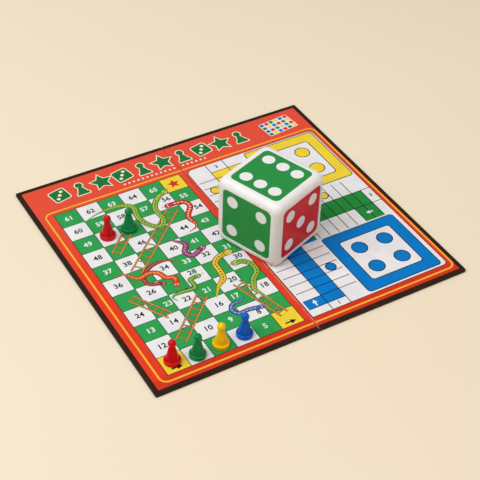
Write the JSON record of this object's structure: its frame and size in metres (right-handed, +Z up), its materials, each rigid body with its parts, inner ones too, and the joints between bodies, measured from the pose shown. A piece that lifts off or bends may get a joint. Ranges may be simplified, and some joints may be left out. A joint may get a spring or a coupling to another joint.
{
  "type": "snakes and ladders board",
  "caption": "Folding game board with a grid of squares on one half and a race-game layout on the other, set out with pawns and a large hollow die.",
  "frame": {"origin": "middle of the open board at its back face, on the surface that it lies on", "axes": "+X across the fold towards the race-game half, +Y along the fold towards the title side, +Z up out of the print"},
  "size_m": [0.32, 0.2986, 0.0742],
  "materials": {
    "grey_board": "matte",
    "wrapping_paper": "matte, dark",
    "left_printed_sheet": "coated print, satin",
    "right_printed_sheet": "coated print, satin",
    "hinge_cloth": "woven, matte",
    "red_pawn_plastic": "glossy moulded",
    "green_pawn_plastic": "glossy moulded",
    "yellow_pawn_plastic": "glossy moulded",
    "blue_pawn_plastic": "glossy moulded",
    "die_frame_plastic": "satin moulded",
    "green_plate_plastic": "glossy printed plate",
    "red_plate_plastic": "glossy printed plate"
  },
  "bodies": {
    "left_half": {"left_core": "grey_board", "left_wrap": "wrapping_paper", "left_print": "left_printed_sheet", "left_hinge_cloth": "hinge_cloth"},
    "right_half": {"right_core": "grey_board", "right_wrap": "wrapping_paper", "right_print": "right_printed_sheet", "right_hinge_cloth": "hinge_cloth"},
    "first_red_pawn": {"red_pawn_1": "red_pawn_plastic"},
    "second_red_pawn": {"red_pawn_2": "red_pawn_plastic"},
    "first_green_pawn": {"green_pawn_1": "green_pawn_plastic"},
    "second_green_pawn": {"green_pawn_2": "green_pawn_plastic"},
    "yellow_pawn": {"yellow_pawn": "yellow_pawn_plastic"},
    "blue_pawn": {"blue_pawn": "blue_pawn_plastic"},
    "die": {"die_body": "die_frame_plastic", "die_face_1": "green_plate_plastic", "die_face_2": "red_plate_plastic", "die_face_3": "green_plate_plastic", "die_face_4": "green_plate_plastic", "die_face_5": "red_plate_plastic", "die_face_6": "green_plate_plastic"}
  },
  "joints": [
    {"name": "fold", "type": "hinge", "parent": "left_half", "child": "right_half", "pos_m": [0, 0, -0.00015], "axis": [0, 1, 0], "range_deg": [0, 180]},
    {"name": "lift_first_red_pawn", "type": "slide", "parent": "left_half", "child": "first_red_pawn", "axis": [0, 0, 1], "range_m": [0, 0.05]},
    {"name": "lift_second_red_pawn", "type": "slide", "parent": "left_half", "child": "second_red_pawn", "axis": [0, 0, 1], "range_m": [0, 0.05]},
    {"name": "lift_first_green_pawn", "type": "slide", "parent": "left_half", "child": "first_green_pawn", "axis": [0, 0, 1], "range_m": [0, 0.05]},
    {"name": "lift_second_green_pawn", "type": "slide", "parent": "left_half", "child": "second_green_pawn", "axis": [0, 0, 1], "range_m": [0, 0.05]},
    {"name": "lift_yellow_pawn", "type": "slide", "parent": "left_half", "child": "yellow_pawn", "axis": [0, 0, 1], "range_m": [0, 0.05]},
    {"name": "lift_blue_pawn", "type": "slide", "parent": "left_half", "child": "blue_pawn", "axis": [0, 0, 1], "range_m": [0, 0.05]},
    {"name": "lift_die", "type": "slide", "parent": "right_half", "child": "die", "axis": [0, 0, 1], "range_m": [0, 0.1]}
  ]
}
